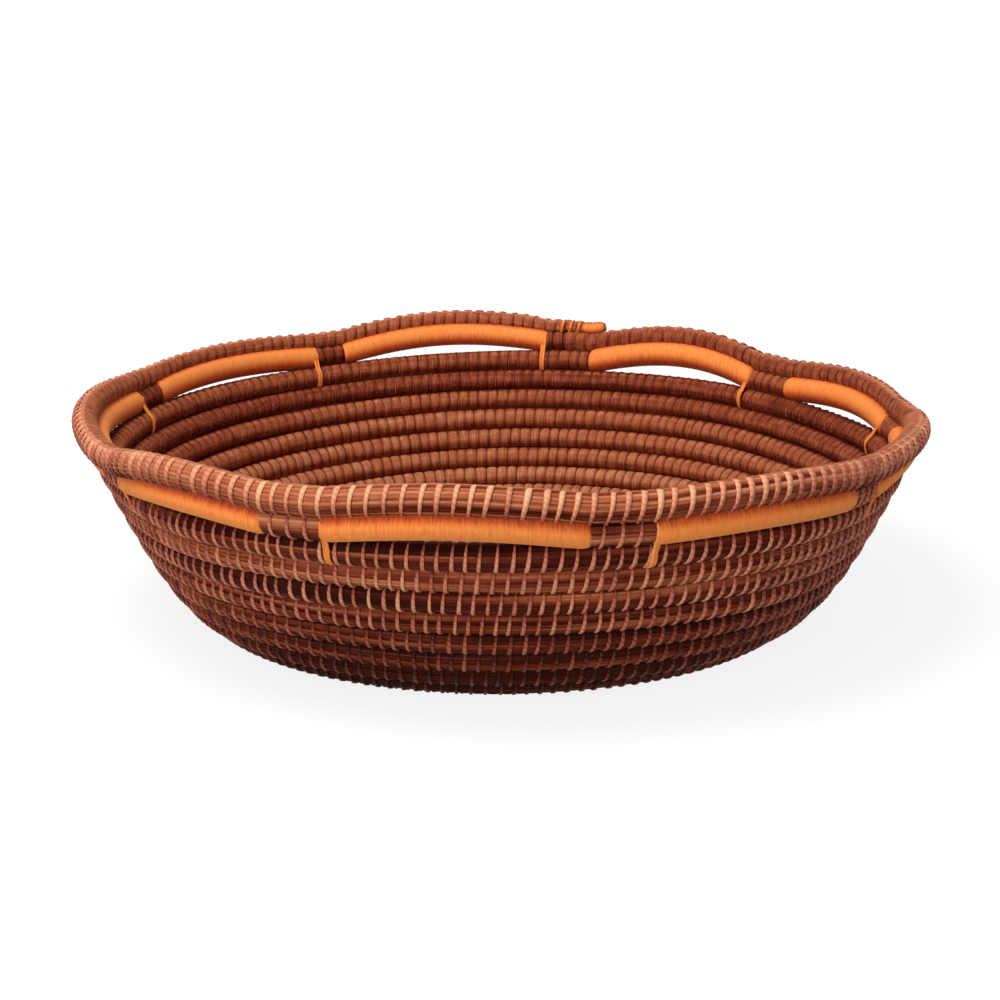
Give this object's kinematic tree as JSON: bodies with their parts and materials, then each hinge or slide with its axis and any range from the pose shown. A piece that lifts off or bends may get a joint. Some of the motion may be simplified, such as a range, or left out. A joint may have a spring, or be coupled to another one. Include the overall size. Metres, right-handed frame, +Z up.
{
  "type": "coiled basket",
  "caption": "Round coiled pine needle basket with a flat base, a flaring wall, low arches wrapped in orange thread under a scalloped rim, and an open top.",
  "frame": {"origin": "middle of the resting face under the base, on the basket's upright axis", "axes": "+Z up out of the open top, -Y towards the pictured front, +X to the right of that view"},
  "size_m": [0.2503, 0.2471, 0.0678],
  "materials": {
    "pine_needles": "dried needles laid lengthwise, satin, dark brown",
    "waxed_thread": "waxed thread, copper brown, slightly glossy",
    "orange_thread": "fine orange thread wound close, soft sheen"
  },
  "bodies": {
    "root": {"centre_knot": "waxed_thread", "base_coil": "pine_needles", "lower_wall_coil": "pine_needles", "middle_wall_coil": "pine_needles", "upper_wall_coil": "pine_needles", "arch_coil": "pine_needles", "rim_coil": "pine_needles", "arch_wrap_1": "orange_thread", "arch_wrap_2": "orange_thread", "arch_wrap_3": "orange_thread", "arch_wrap_4": "orange_thread", "arch_wrap_5": "orange_thread", "arch_wrap_6": "orange_thread", "arch_wrap_7": "orange_thread", "arch_wrap_8": "orange_thread", "arch_wrap_9": "orange_thread", "wrap_tie_1": "orange_thread", "wrap_tie_2": "orange_thread", "wrap_tie_3": "orange_thread", "wrap_tie_4": "orange_thread", "wrap_tie_5": "orange_thread", "wrap_tie_6": "orange_thread", "wrap_tie_7": "orange_thread", "wrap_tie_8": "orange_thread", "wrap_tie_9": "orange_thread", "tail_thread": "orange_thread", "tail_cap": "orange_thread", "gap_lashing_1": "waxed_thread", "gap_lashing_2": "waxed_thread", "gap_lashing_3": "waxed_thread", "gap_lashing_4": "waxed_thread", "gap_lashing_5": "waxed_thread", "gap_lashing_6": "waxed_thread", "gap_lashing_7": "waxed_thread", "gap_lashing_8": "waxed_thread", "gap_lashing_9": "waxed_thread"}
  },
  "joints": []
}
